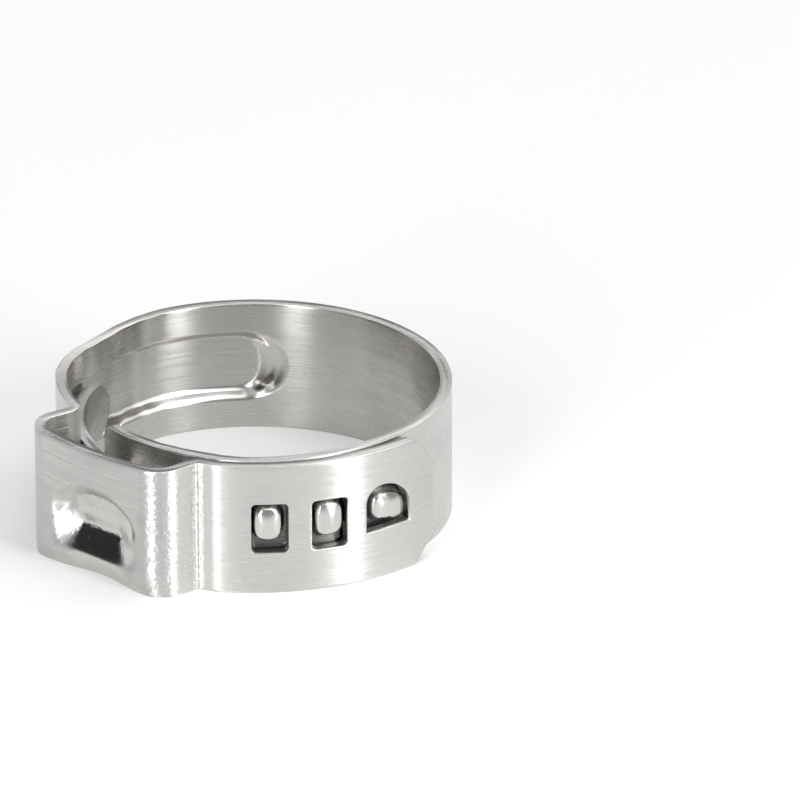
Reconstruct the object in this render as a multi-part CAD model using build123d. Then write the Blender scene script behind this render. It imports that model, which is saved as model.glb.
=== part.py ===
from build123d import *
import math
import os

# Open single-ear hose clamp, folded from one stainless strip.
# Millimetres. The origin is on the bore axis, level with the lower strip edge.
# +Z runs along the bore axis, and the ear points along -Y.
# Angles are in degrees, counter-clockwise from above, from the middle of the ear.

# Strip
BAND_WIDTH = 7.0
STRIP_THICKNESS = 0.6
BORE_RADIUS = 9.6
LAYER_GAP = 0.03

# Ear, measured to the middle of the strip's thickness
EAR_DIRECTION = 270.0
EAR_RISE = 12.0
EAR_TOP_RADIUS = 20.0
FAR_LEG_OFFSET = 4.55
NEAR_LEG_TOP_OFFSET = 4.5
NEAR_LEG_FOOT_OFFSET = 4.78
EAR_CORNER_BEND = 1.4
EAR_FOOT_BEND = 0.65

# Dimple pressed into the ear top
DIMPLE_LENGTH = 4.8
DIMPLE_HEIGHT = 3.8
DIMPLE_DEPTH = 0.8
DIMPLE_LEVEL = 3.2
DIMPLE_LIFT = 0.75

# Lower edge of the ear top, drawn in below the dimple
DRAW_LENGTH = 7.2
DRAW_HEIGHT = 4.2
DRAW_DEPTH = 0.75
DRAW_LEVEL = 0.0

# Inner layer, its tongue and the channel that takes the tongue
SHOULDER_ANGLE = -8.0
SHOULDER_CORNER = 0.4
TONGUE_WIDTH = 3.0
TONGUE_TIP_ANGLE = -80.0
TONGUE_EASE = 0.01
CHANNEL_SIDE_CLEARANCE = 0.1
CHANNEL_FLARE = 0.3
CHANNEL_END_ANGLE = -133.0
CHANNEL_WALL = 0.4
CHANNEL_BEND = 0.3

# Square windows in the outer layer
WINDOW_LENGTH = 1.85
WINDOW_HEIGHT = 2.7
WINDOW_LEVEL = 3.55
WINDOW_CORNER = 0.25
WINDOW_ANGLES = (48.0, 64.3)

# D-shaped window nearest the free end
END_WINDOW_ANGLE = 82.2
END_WINDOW_LENGTH = 2.7
END_WINDOW_HEIGHT = 2.5
END_WINDOW_LOW_SIDE = 0.95
END_WINDOW_CORNER = 0.5
END_WINDOW_ROUND = 0.47
END_WINDOW_SILL = 2.6

# Hooks raised from the inner layer into the windows
HOOK_LENGTH = 1.5
HOOK_HEIGHT = 2.05
HOOK_LEVEL = 3.75
HOOK_CORNER = 0.5
HOOK_STANDOUT = 0.25
HOOK_EDGE = 0.35
END_HOOK_LENGTH = 2.3
END_HOOK_HEIGHT = 1.9
END_HOOK_LOW_SIDE = 0.75
END_HOOK_SILL = 3.0
DENT_RADIUS = 1.0
DENT_DEPTH = 0.25

# Free end of the outer layer, which springs away from the inner one
FREE_END_ANGLE = 98.5
FREE_END_LIFT = 0.4
FREE_END_RADIUS = 7.0
FREE_END_CORNER = 1.3

# Derived sizes
MID_LEVEL = BAND_WIDTH / 2
INNER_LAYER_OUTSIDE = BORE_RADIUS + STRIP_THICKNESS
OUTER_LAYER_INSIDE = INNER_LAYER_OUTSIDE + LAYER_GAP
OUTER_LAYER_OUTSIDE = OUTER_LAYER_INSIDE + STRIP_THICKNESS
CHANNEL_FLOOR_WIDTH = TONGUE_WIDTH + 2 * CHANNEL_SIDE_CLEARANCE
# Half the layer gap past the inner layer: windows and the free end are cut from here.
LAYER_SPLIT = INNER_LAYER_OUTSIDE + LAYER_GAP / 2
# Distance that a cutting shape runs past the faces it cuts.
OVERRUN = 0.5


def turned(radius, angle):
    """Point at a radius, at an angle from the middle of the ear."""
    turn = math.radians(EAR_DIRECTION + angle)
    return Vector(radius * math.cos(turn), radius * math.sin(turn), 0)


def face_plane(angle, level):
    """Plane on the bore axis with X along the strip, Y up and Z outwards."""
    return Plane(origin=(0, 0, level), x_dir=turned(1, angle + 90), z_dir=turned(1, angle))


def pressed_out(outline, angle, level, from_radius, to_radius):
    """Outline in the strip's face raised radially between two radii."""
    block = extrude(outline, to_radius - from_radius)
    return face_plane(angle, level) * Pos(0, 0, from_radius) * block


def disc(radius):
    """Round body as tall as the strip is wide."""
    return Cylinder(radius, BAND_WIDTH, align=(Align.CENTER, Align.CENTER, Align.MIN))


def foot_angle(offset, radius):
    """Angle at which a leg at an offset from the ear's middle meets a layer."""
    return math.degrees(math.asin(offset / radius))


def ear_corner(offset):
    """Corner where a leg meets the arched ear top."""
    sagitta = EAR_TOP_RADIUS - math.sqrt(EAR_TOP_RADIUS**2 - offset**2)
    return Vector(offset, sagitta - EAR_RISE, 0)


def strip_middle():
    """Middle line of the strip's thickness, from the shoulder to the free end."""
    inner_radius = BORE_RADIUS + STRIP_THICKNESS / 2
    outer_radius = OUTER_LAYER_INSIDE + STRIP_THICKNESS / 2
    far_foot_angle = -foot_angle(FAR_LEG_OFFSET, inner_radius)
    near_foot_angle = foot_angle(NEAR_LEG_FOOT_OFFSET, outer_radius)
    ring_turn = 360 + far_foot_angle - SHOULDER_ANGLE
    ring = CenterArc((0, 0), inner_radius, EAR_DIRECTION + SHOULDER_ANGLE, ring_turn)
    near_foot = turned(outer_radius, near_foot_angle)
    lap = TangentArc(
        near_foot,
        turned(outer_radius + FREE_END_LIFT, FREE_END_ANGLE),
        tangent=turned(1, near_foot_angle + 90),
    )
    far_corner = ear_corner(-FAR_LEG_OFFSET)
    near_corner = ear_corner(NEAR_LEG_TOP_OFFSET)
    far_leg = Line(ring @ 1, far_corner)
    ear_top = ThreePointArc(far_corner, (0, -EAR_RISE), near_corner)
    near_leg = Line(near_corner, near_foot)
    path = Wire([ring, far_leg, ear_top, near_leg, lap])
    bends = (
        (ring @ 1, EAR_FOOT_BEND),
        (far_corner, EAR_CORNER_BEND),
        (near_corner, EAR_CORNER_BEND),
        (near_foot, EAR_FOOT_BEND),
    )
    for point, radius in bends:
        vertex = path.vertices().sort_by_distance(point)[0]
        path = path.fillet_2d(radius, [vertex])
    return path


def beside(edge, distance):
    """Copy of a line or arc moved sideways, to the left of its direction."""
    heading = edge % 0
    start = edge @ 0 + Vector(-heading.Y, heading.X, 0) * distance
    if edge.geom_type == GeomType.LINE:
        return Line(start, start + heading * edge.length)
    centre = edge.arc_center
    spoke = edge @ 0 - centre
    side = 1 if heading.Y * spoke.X > heading.X * spoke.Y else -1
    start_angle = math.degrees(math.atan2(spoke.Y, spoke.X))
    turn = side * math.degrees(edge.length / edge.radius)
    return CenterArc((centre.X, centre.Y), edge.radius - side * distance, start_angle, turn)


def bent_strip():
    """Full-width strip: inner layer, ring, ear and outer layer."""
    edges = strip_middle().edges()
    inside = [beside(edge, STRIP_THICKNESS / 2) for edge in edges]
    outside = [beside(edge, -STRIP_THICKNESS / 2) for edge in edges]
    shoulder = Line(inside[0] @ 0, outside[0] @ 0)
    free_end = Line(inside[-1] @ 1, outside[-1] @ 1)
    outline = Wire([*inside, *outside, shoulder, free_end])
    return extrude(Face(outline), BAND_WIDTH, dir=(0, 0, 1))


def swept_round(section, start_angle, end_angle):
    """Section in radius and height turned about the bore axis."""
    across = turned(1, start_angle - 90)
    plane = Plane(origin=(0, 0, 0), x_dir=turned(1, start_angle), z_dir=across)
    return revolve(plane * section, Axis.Z, end_angle - start_angle)


def tongue():
    """Narrow end of the inner layer, with a round tip and rounded shoulder corners."""
    half = TONGUE_WIDTH / 2
    from_radius = BORE_RADIUS - OVERRUN
    to_radius = INNER_LAYER_OUTSIDE + OVERRUN
    tip_centre = TONGUE_TIP_ANGLE + math.degrees(half / BORE_RADIUS)
    section = Pos(BORE_RADIUS, MID_LEVEL) * Rectangle(2 * STRIP_THICKNESS, TONGUE_WIDTH)
    blade = swept_round(section, tip_centre, SHOULDER_ANGLE)
    tip = pressed_out(Circle(half), tip_centre, MID_LEVEL, from_radius, to_radius)
    web = Pos(-SHOULDER_CORNER, 0) * Rectangle(SHOULDER_CORNER, half + SHOULDER_CORNER, align=Align.MIN)
    web = web - Pos(-SHOULDER_CORNER, half + SHOULDER_CORNER) * Circle(SHOULDER_CORNER)
    webs = pressed_out(web + mirror(web, Plane.XZ), SHOULDER_ANGLE, MID_LEVEL, from_radius, to_radius)
    sleeve = disc(INNER_LAYER_OUTSIDE - TONGUE_EASE) - disc(BORE_RADIUS + TONGUE_EASE)
    return (blade + tip + webs) & sleeve


def channel_form(floor_radius, floor_width, foot_radius):
    """Flared groove with a round end, from its foot out to its floor."""
    slope = CHANNEL_FLARE / (OUTER_LAYER_INSIDE - BORE_RADIUS)
    top_radius = floor_radius + OVERRUN
    foot_half = floor_width / 2 + slope * (floor_radius - foot_radius)
    top_half = floor_width / 2 - slope * OVERRUN
    half_section = Polyline(
        (foot_radius, 0),
        (foot_radius, foot_half),
        (top_radius, top_half),
        (top_radius, 0),
        close=True,
    )
    section = make_face(half_section)
    section = Pos(0, MID_LEVEL) * (section + mirror(section, Plane.XZ))
    groove = swept_round(section, CHANNEL_END_ANGLE, SHOULDER_ANGLE)
    cone_height = top_radius - foot_radius
    end = Cone(foot_half, top_half, cone_height, align=(Align.CENTER, Align.CENTER, Align.MIN))
    end = face_plane(CHANNEL_END_ANGLE, MID_LEVEL) * Pos(0, 0, foot_radius) * end
    return (groove + end) & disc(floor_radius)


def channel_space():
    """Room inside the channel, open to the bore."""
    return channel_form(OUTER_LAYER_INSIDE, CHANNEL_FLOOR_WIDTH, BORE_RADIUS - OVERRUN)


def channel_wall():
    """Metal pressed outwards around the channel, up to the far leg."""
    wall_width = CHANNEL_FLOOR_WIDTH + 2 * CHANNEL_WALL
    wall = channel_form(OUTER_LAYER_OUTSIDE, wall_width, BORE_RADIUS + STRIP_THICKNESS / 2)
    leg_face = FAR_LEG_OFFSET - STRIP_THICKNESS / 2
    corner = (Align.MIN, Align.MAX, Align.MIN)
    ear_side = Box(2 * BORE_RADIUS, 2 * OUTER_LAYER_OUTSIDE, BAND_WIDTH, align=corner)
    wall = wall - Pos(-leg_face, 0, 0) * ear_side
    return fillet(floor_edges(wall, OUTER_LAYER_OUTSIDE), CHANNEL_BEND)


def floor_edges(body, radius):
    """Edges of a channel form that lie on its floor, apart from the one at the leg."""
    def along_side(edge):
        middle = edge @ 0.5
        on_floor = math.isclose(math.hypot(middle.X, middle.Y), radius, abs_tol=1e-4)
        return on_floor and not math.isclose(middle.Z, MID_LEVEL, abs_tol=1e-4)
    return body.edges().filter_by(along_side)


def end_window_outline(length, height, low_side):
    """Flat-bottomed outline with one tall side and a top that curves down."""
    half = length / 2
    curve_start = (END_WINDOW_CORNER - half, height)
    curve = TangentArc(curve_start, (half, low_side), tangent=(1, 0))
    sides = Polyline((half, low_side), (half, 0), (-half, 0), (-half, height), curve_start)
    outline = make_face(curve.edges() + sides.edges())
    tall_corner = outline.vertices().sort_by_distance((-half, height))[0]
    return fillet(tall_corner, END_WINDOW_ROUND)


def windows():
    """Cutting shapes of the three windows in the outer layer."""
    top = OUTER_LAYER_OUTSIDE + FREE_END_LIFT + OVERRUN
    square = RectangleRounded(WINDOW_LENGTH, WINDOW_HEIGHT, WINDOW_CORNER)
    cuts = [pressed_out(square, angle, WINDOW_LEVEL, LAYER_SPLIT, top) for angle in WINDOW_ANGLES]
    outline = end_window_outline(END_WINDOW_LENGTH, END_WINDOW_HEIGHT, END_WINDOW_LOW_SIDE)
    cuts.append(pressed_out(outline, END_WINDOW_ANGLE, END_WINDOW_SILL, LAYER_SPLIT, top))
    return cuts


def hook(outline, angle, level):
    """Button with rounded top edges, rising through a window."""
    foot = INNER_LAYER_OUTSIDE - STRIP_THICKNESS / 2
    block = extrude(outline, OUTER_LAYER_OUTSIDE + HOOK_STANDOUT - foot)
    top_edges = block.faces().sort_by(Axis.Z)[-1].edges()
    block = fillet(top_edges, HOOK_EDGE)
    return face_plane(angle, level) * Pos(0, 0, foot) * block


def hooks():
    """Three hooks that take the pull of the outer layer."""
    square = RectangleRounded(HOOK_LENGTH, HOOK_HEIGHT, HOOK_CORNER)
    bodies = [hook(square, angle, HOOK_LEVEL) for angle in WINDOW_ANGLES]
    outline = end_window_outline(END_HOOK_LENGTH, END_HOOK_HEIGHT, END_HOOK_LOW_SIDE)
    bodies.append(hook(outline, END_WINDOW_ANGLE, END_HOOK_SILL))
    return bodies


def dents():
    """Shallow punch marks in the bore, behind the hooks."""
    centre = BORE_RADIUS + DENT_DEPTH - DENT_RADIUS
    angles = (*WINDOW_ANGLES, END_WINDOW_ANGLE)
    return [face_plane(angle, HOOK_LEVEL) * Pos(0, 0, centre) * Sphere(DENT_RADIUS) for angle in angles]


def oval_bowl(length, height, depth, level, face_height):
    """Oval bowl that reaches its stated depth below a face of the ear top."""
    lift = depth * DIMPLE_LIFT
    reach = depth + lift
    spread = 1 / math.sqrt(1 - (lift / reach)**2)
    bowl = scale(Sphere(1), by=(length / 2 * spread, height / 2 * spread, reach))
    return face_plane(0, level) * Pos(0, 0, face_height + lift) * bowl


def ear_hollows(face_height):
    """The dimple, and the hollow that draws in the ear's lower edge."""
    dimple = oval_bowl(DIMPLE_LENGTH, DIMPLE_HEIGHT, DIMPLE_DEPTH, DIMPLE_LEVEL, face_height)
    draw = oval_bowl(DRAW_LENGTH, DRAW_HEIGHT, DRAW_DEPTH, DRAW_LEVEL, face_height)
    return [dimple, draw]


def dimpled(clamp):
    """Clamp with both hollows pressed into its ear top."""
    outer_face = EAR_RISE + STRIP_THICKNESS / 2
    inner_face = EAR_RISE - STRIP_THICKNESS / 2
    crown_side = (Align.CENTER, Align.MAX, Align.MIN)
    keep = Box(2 * FAR_LEG_OFFSET, EAR_RISE, BAND_WIDTH, align=crown_side)
    room = Pos(0, STRIP_THICKNESS / 4, 0) * keep
    bulges = [hollow & room for hollow in ear_hollows(inner_face)]
    return clamp + bulges - ear_hollows(outer_face)


def free_end_trim():
    """Cutting shape that leaves the outer layer with a convex end."""
    half = BAND_WIDTH / 2
    set_back = FREE_END_RADIUS - math.sqrt(FREE_END_RADIUS**2 - half**2)
    back = -set_back - 2 * FREE_END_CORNER
    curve = ThreePointArc((-set_back, -half), (0, 0), (-set_back, half))
    sides = Polyline((-set_back, half), (back, half), (back, -half), (-set_back, -half))
    kept = make_face(curve.edges() + sides.edges())
    corners = [kept.vertices().sort_by_distance((-set_back, side))[0] for side in (-half, half)]
    kept = fillet(corners, FREE_END_CORNER)
    around = Rectangle(OVERRUN - back, BAND_WIDTH + 2 * OVERRUN, align=(Align.MIN, Align.CENTER))
    outline = Pos(back, 0) * around - kept
    top = OUTER_LAYER_OUTSIDE + FREE_END_LIFT + OVERRUN
    return pressed_out(outline, FREE_END_ANGLE, MID_LEVEL, LAYER_SPLIT, top)


def clamp_band():
    """The whole clamp as one piece."""
    clamp = bent_strip() + channel_wall() - channel_space()
    clamp = clamp + tongue()
    clamp = clamp - windows() - dents() + hooks()
    return dimpled(clamp) - free_end_trim()


os.makedirs("parts", exist_ok=True)
export_step(clamp_band(), "parts/clamp_band.step")
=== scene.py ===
"""Looks of an open single-ear hose clamp: one stainless strip, punched flat and then bent."""

import logging
import math
from collections.abc import Iterable, Sequence
from dataclasses import dataclass, field
from enum import Enum, IntEnum
from itertools import pairwise
from typing import NamedTuple

import bmesh
import bpy
from mathutils import Matrix, Vector

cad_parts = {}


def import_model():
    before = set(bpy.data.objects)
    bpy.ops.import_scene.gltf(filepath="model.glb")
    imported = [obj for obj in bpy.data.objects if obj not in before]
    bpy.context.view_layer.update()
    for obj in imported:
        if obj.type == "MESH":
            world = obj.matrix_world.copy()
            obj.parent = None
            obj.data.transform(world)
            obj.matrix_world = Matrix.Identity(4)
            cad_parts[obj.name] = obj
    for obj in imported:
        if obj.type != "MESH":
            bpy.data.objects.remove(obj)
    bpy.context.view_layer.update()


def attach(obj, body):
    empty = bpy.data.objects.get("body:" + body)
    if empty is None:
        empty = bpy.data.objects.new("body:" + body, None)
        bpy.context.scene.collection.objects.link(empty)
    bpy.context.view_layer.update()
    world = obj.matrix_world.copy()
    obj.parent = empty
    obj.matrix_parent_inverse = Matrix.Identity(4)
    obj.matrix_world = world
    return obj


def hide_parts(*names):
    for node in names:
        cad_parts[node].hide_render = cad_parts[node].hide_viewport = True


MM = 0.001
CLOSEST_LINES = 0.02
SHARP_ANGLE = 1.0
Color = tuple[float, float, float, float]
log = logging.getLogger("ear_clamp")


class Side(Enum):
    """Side of a direction of travel seen from above."""

    LEFT = 1
    RIGHT = -1


class Punch(Enum):
    """Form of a window punched in the outer layer."""

    SQUARE = "square"
    DEE = "dee"


class Course(IntEnum):
    """Stretches of the strip, in order from the tongue's tip to the free end."""

    TONGUE = 0
    RING = 1
    FAR_FOOT = 2
    FAR_LEG = 3
    FAR_CORNER = 4
    CROWN = 5
    NEAR_CORNER = 6
    NEAR_LEG = 7
    NEAR_FOOT = 8
    OUTER_LAYER = 9


BENDS = (Course.FAR_FOOT, Course.FAR_CORNER, Course.NEAR_CORNER, Course.NEAR_FOOT)


def turned(radius: float, degrees: float) -> Vector:
    """Returns a point of the plan at a radius, at an angle from the middle of the ear."""
    turn = math.radians(degrees)
    return Vector((radius * math.sin(turn), -radius * math.cos(turn)))


def left_of(heading: Vector) -> Vector:
    """Returns the direction a quarter turn counter-clockwise from a heading."""
    return Vector((-heading.y, heading.x))


def ease(value: float) -> float:
    """Returns a smooth step from 0 to 1 over the range 0 to 1."""
    held = min(1.0, max(0.0, value))
    return held * held * (3 - 2 * held)


def ramp(value: float, bend: float) -> float:
    """Rises from 0 to 1 over the range 0 to 1, straight but for a bend at each end.

    Args:
        value: Place on the ramp.
        bend: Length of each bend, as a share of the ramp.

    Returns:
        The height.
    """
    half = bend / 2
    if value < half:
        return ease((value + half) / bend) * half
    if value > 1 - half:
        return 1 - ease((1 + half - value) / bend) * half
    return value


def bell(distance: float, spread: float) -> float:
    """Returns a rounded bump, 1 at no distance and near 0 past two spreads."""
    return math.exp(-((distance / spread) ** 2))


def put(name: str, data: bpy.types.ID) -> bpy.types.Object:
    """Puts a new object into the scene.

    Args:
        name: Name of the object.
        data: Mesh, lamp or camera that it shows.

    Returns:
        The object.
    """
    thing = bpy.data.objects.new(name, data)
    bpy.context.scene.collection.objects.link(thing)
    return thing


@dataclass(frozen=True)
class Zone:
    """Stretch of the blank whose grid lines are close together."""

    start: float
    stop: float
    pitch: float


def spaced_lines(marks: Iterable[float], zones: Sequence[Zone], pitch: float) -> list[float]:
    """Works out grid lines that hit every mark and are closer inside the zones.

    Args:
        marks: Places that need a line of their own.
        zones: Stretches with a finer pitch.
        pitch: Widest distance between lines.

    Returns:
        The lines in rising order.
    """
    edges = sorted({*marks, *(zone.start for zone in zones), *(zone.stop for zone in zones)})
    edges = [edges[0]] + [b for a, b in pairwise(edges) if b - a > CLOSEST_LINES]
    lines = []
    for start, stop in pairwise(edges):
        middle = (start + stop) / 2
        finest = min([pitch] + [zone.pitch for zone in zones if zone.start <= middle <= zone.stop])
        count = max(1, math.ceil((stop - start) / finest))
        lines += [start + (stop - start) * step / count for step in range(count)]
    return lines + [edges[-1]]


@dataclass(frozen=True)
class Stretch:
    """Straight or round part of a bending route, in plan."""

    start: Vector
    heading: Vector
    length: float
    radius: float = 0.0

    def place(self, share: float) -> tuple[Vector, Vector]:
        """Finds the point and heading at a share of the length.

        Args:
            share: 0 at the start and 1 at the end.

        Returns:
            The point, and the unit heading there.
        """
        travel = self.length * share
        if self.radius == 0:
            return self.start + self.heading * travel, self.heading
        turn = Matrix.Rotation(travel / self.radius, 2)
        centre = self.start + left_of(self.heading) * self.radius
        return centre + turn @ (self.start - centre), turn @ self.heading


def round_between(centre: Vector, start: Vector, end: Vector, side: Side) -> Stretch:
    """Makes a round stretch about a centre.

    Args:
        centre: Centre of the round.
        start: Where the stretch starts, which sets its radius.
        end: Any point on the spoke at which it ends.
        side: Side to which the stretch turns.

    Returns:
        The stretch.
    """
    spoke = start - centre
    radius = side.value * spoke.length
    heading = left_of(spoke.normalized()) * side.value
    swing = side.value * spoke.angle_signed(end - centre) * -1
    return Stretch(start, heading, (swing % math.tau) * spoke.length, radius)


def blend_centre(
    point: Vector, heading: Vector, side: Side, centre: Vector, reach: float, radius: float
) -> Vector:
    """Finds the centre of the bend between a straight line and a circle.

    Args:
        point: Point of the line near the bend.
        heading: Direction of the line.
        side: Side of the line on which the bend's centre lies.
        centre: Centre of the circle.
        reach: Distance from the circle's centre to the bend's centre.
        radius: Radius of the bend.

    Returns:
        The bend's centre nearest to the point.
    """
    beside = point + left_of(heading) * side.value * radius
    gap = beside - centre
    along = gap.dot(heading)
    spare = math.sqrt(along**2 - gap.length_squared + reach**2)
    nearest = min((-along - spare, -along + spare), key=abs)
    return beside + heading * nearest


def foot_of(point: Vector, line_point: Vector, heading: Vector) -> Vector:
    """Returns the point of a line nearest to another point."""
    return line_point + heading * (point - line_point).dot(heading)


def round_corner(point: Vector, centre: Vector, way: tuple[int, int], radius: float) -> Vector:
    """Draws the square corner about a centre into a quarter round, and eases what lies beyond.

    Args:
        point: Point of the flat blank.
        centre: Centre of the quarter round.
        way: Signs of the directions towards the square corner.
        radius: Radius of the round.

    Returns:
        The point after the corner is drawn round.
    """
    arm = Vector(((point.x - centre.x) * way[0], (point.y - centre.y) * way[1]))
    square = max(arm)
    beyond = 2 * radius
    if min(arm) <= 0 or square > radius + beyond:
        return point
    share = square / arm.length
    if square > radius:
        share += (1 - share) * ease((square - radius) / beyond)
    arm *= share
    return centre + Vector((arm.x * way[0], arm.y * way[1]))


@dataclass(frozen=True)
class StripSizes:
    """Stock that the clamp is folded from, in millimetres."""

    width: float = 7.0
    thickness: float = 0.6
    bore: float = 9.6
    layer_gap: float = 0.03
    edge_round: float = 0.07

    @property
    def middle_level(self) -> float:
        """Height of the strip's middle."""
        return self.width / 2

    @property
    def inner_middle(self) -> float:
        """Radius to the middle of the inner layer's thickness."""
        return self.bore + self.thickness / 2

    @property
    def outer_middle(self) -> float:
        """Radius to the middle of the outer layer's thickness."""
        return self.inner_middle + self.thickness + self.layer_gap


@dataclass(frozen=True)
class EarSizes:
    """Ear in plan, measured to the middle of the thickness, in millimetres."""

    rise: float = 12.0
    top_radius: float = 20.0
    far_top: float = 4.55
    far_foot: float = 4.55
    near_top: float = 4.5
    near_foot: float = 4.78
    corner_bend: float = 1.4
    foot_bend: float = 0.65


@dataclass(frozen=True)
class TongueSizes:
    """Tongue of the inner layer and the channel that takes it, in millimetres and degrees."""

    tip_angle: float = -79.0
    shoulder_angle: float = -10.0
    width: float = 3.0
    shoulder_corner: float = 0.4
    channel_end: float = -133.0
    channel_half: float = 1.9
    channel_slope: float = 0.42
    channel_end_slope: float = 0.85
    channel_mouth: tuple[float, float] = (290.0, 304.0)
    end_widening: float = 0.25
    wall_bend: float = 0.3
    end_wall_bend: float = 0.5
    clear_of_shoulder: float = 5.0


@dataclass(frozen=True)
class WindowSizes:
    """One window of the outer layer and the outline of the hook that stands in it."""

    form: Punch
    angle: float
    length: float
    sill: float
    height: float
    corner: float
    hook_length: float
    hook_height: float
    hook_level: float
    hook_shift: float = 0.0
    low_side: float = 0.0


@dataclass(frozen=True)
class HookSizes:
    """Rounded lobe of every hook, in shares of the hook's half length and half height.

    The rise and the dent behind it are in millimetres.
    """

    rise: float = 0.86
    dent: float = 0.45
    squareness: int = 3
    reach: float = 1.6
    wall_start: float = 0.82
    wall_run: float = 0.2
    dome_fall: float = 0.35
    dent_reach: float = 0.95
    dee_fall: float = 0.5
    dee_start: float = -0.4
    dee_run: float = 1.6


@dataclass(frozen=True)
class EndSizes:
    """Free end of the outer layer."""

    angle: float = 98.5
    lift: float = 0.4
    bow: float = 7.0
    corner: float = 1.3
    bow_reach: float = 2.0


@dataclass
class Route:
    """Line that the middle of the strip follows, from the tongue's tip to the free end."""

    strip: StripSizes
    ear: EarSizes
    tongue: TongueSizes
    end: EndSizes
    ring_radius: float
    stretches: list[Stretch] = field(default_factory=list)

    def lay(self) -> "Route":
        """Lays the stretches end to end.

        Returns:
            The route itself.
        """
        axis = Vector((0, 0))
        ear = self.ear
        bend = ear.corner_bend
        crown_centre = Vector((0, ear.top_radius - ear.rise))
        crown_reach = ear.top_radius - bend
        far_corner = Vector((-ear.far_top, self._crown_height(ear.far_top)))
        far_foot = self._on_ring(-ear.far_foot, self.strip.inner_middle)
        near_corner = Vector((ear.near_top, self._crown_height(ear.near_top)))
        near_foot = self._on_ring(ear.near_foot, self.strip.outer_middle)
        out = (far_corner - far_foot).normalized()
        back = (near_foot - near_corner).normalized()
        lap_centre, lap_radius = self._lap(near_foot)

        foot_reach = self.ring_radius + ear.foot_bend
        foot_start = self._on_ring(-ear.far_foot, self.ring_radius)
        first = blend_centre(foot_start, out, Side.RIGHT, axis, foot_reach, ear.foot_bend)
        second = blend_centre(far_corner, out, Side.LEFT, crown_centre, crown_reach, bend)
        third = blend_centre(near_corner, back, Side.LEFT, crown_centre, crown_reach, bend)
        lap_reach = lap_radius + ear.foot_bend
        fourth = blend_centre(near_foot, back, Side.RIGHT, lap_centre, lap_reach, ear.foot_bend)

        tip = turned(self.ring_radius, self.tongue.tip_angle)
        shoulder = turned(self.ring_radius, self.tongue.shoulder_angle)
        ring_end = first.normalized() * self.ring_radius
        leg_start = foot_of(first, far_foot, out)
        leg_end = foot_of(second, far_foot, out)
        crown_start = self._touch(crown_centre, second, ear.top_radius)
        crown_end = self._touch(crown_centre, third, ear.top_radius)
        near_start = foot_of(third, near_corner, back)
        near_end = foot_of(fourth, near_corner, back)
        lap_start = self._touch(lap_centre, fourth, lap_radius)
        lap_end = turned(self.strip.outer_middle + self.end.lift, self.end.angle)
        self.stretches = [
            round_between(axis, tip, shoulder, Side.LEFT),
            round_between(axis, shoulder, ring_end, Side.LEFT),
            round_between(first, ring_end, leg_start, Side.RIGHT),
            Stretch(leg_start, out, (leg_end - leg_start).length),
            round_between(second, leg_end, crown_start, Side.LEFT),
            round_between(crown_centre, crown_start, crown_end, Side.LEFT),
            round_between(third, crown_end, near_start, Side.LEFT),
            Stretch(near_start, back, (near_end - near_start).length),
            round_between(fourth, near_end, lap_start, Side.RIGHT),
            round_between(lap_centre, lap_start, lap_end, Side.LEFT),
        ]
        return self

    def _crown_height(self, offset: float) -> float:
        """Returns the plan height of the crown circle at an offset from the ear's middle."""
        ear = self.ear
        return ear.top_radius - math.sqrt(ear.top_radius**2 - offset**2) - ear.rise

    def _on_ring(self, offset: float, radius: float) -> Vector:
        """Returns the point of the ring's ear side at an offset from the ear's middle."""
        return Vector((offset, -math.sqrt(radius**2 - offset**2)))

    def _touch(self, centre: Vector, bend: Vector, radius: float) -> Vector:
        """Returns the point of a circle on the spoke through a bend's centre."""
        return centre + (bend - centre).normalized() * radius

    def _lap(self, near_foot: Vector) -> tuple[Vector, float]:
        """Fits the outer layer's circle from the ear's foot to the lifted free end.

        Args:
            near_foot: Where the near leg meets the outer layer.

        Returns:
            The circle's centre and radius.
        """
        spoke = near_foot.normalized()
        base = self.strip.outer_middle
        tip = turned(base + self.end.lift, self.end.angle)
        radius = (tip - near_foot).length_squared / (2 * (base - tip.dot(spoke)))
        return spoke * (base - radius), radius

    @property
    def lengths(self) -> list[float]:
        """Length of each stretch."""
        return [stretch.length for stretch in self.stretches]

    def start_of(self, course: int) -> float:
        """Returns the distance along the route at which a stretch starts."""
        return sum(self.lengths[:course])

    def ring_distance(self, degrees: float) -> float:
        """Returns how far along the route an angle on the ring lies."""
        return math.radians(degrees - self.tongue.tip_angle) * self.ring_radius

    def lap_distance(self, degrees: float) -> float:
        """Finds how far along the route an angle on the outer layer lies.

        Args:
            degrees: Angle from the middle of the ear.

        Returns:
            The distance from the tongue's tip.
        """
        lap = self.stretches[Course.OUTER_LAYER]
        centre, _ = self._lap(self._on_ring(self.ear.near_foot, self.strip.outer_middle))
        spoke = lap.start - centre
        ray = turned(self.strip.outer_middle, degrees)
        swing = abs(spoke.angle_signed(ray - centre))
        return self.start_of(Course.OUTER_LAYER) + swing * lap.radius

    def locate(self, distance: float) -> tuple[int, float]:
        """Finds the stretch that holds a distance along the route.

        Args:
            distance: Distance from the tongue's tip.

        Returns:
            The stretch's number, and the share of the stretch that lies behind.
        """
        left = distance
        for course, length in enumerate(self.lengths):
            if left <= length or course == Course.OUTER_LAYER:
                return course, left / length
            left -= length
        raise ValueError(distance)


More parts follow.
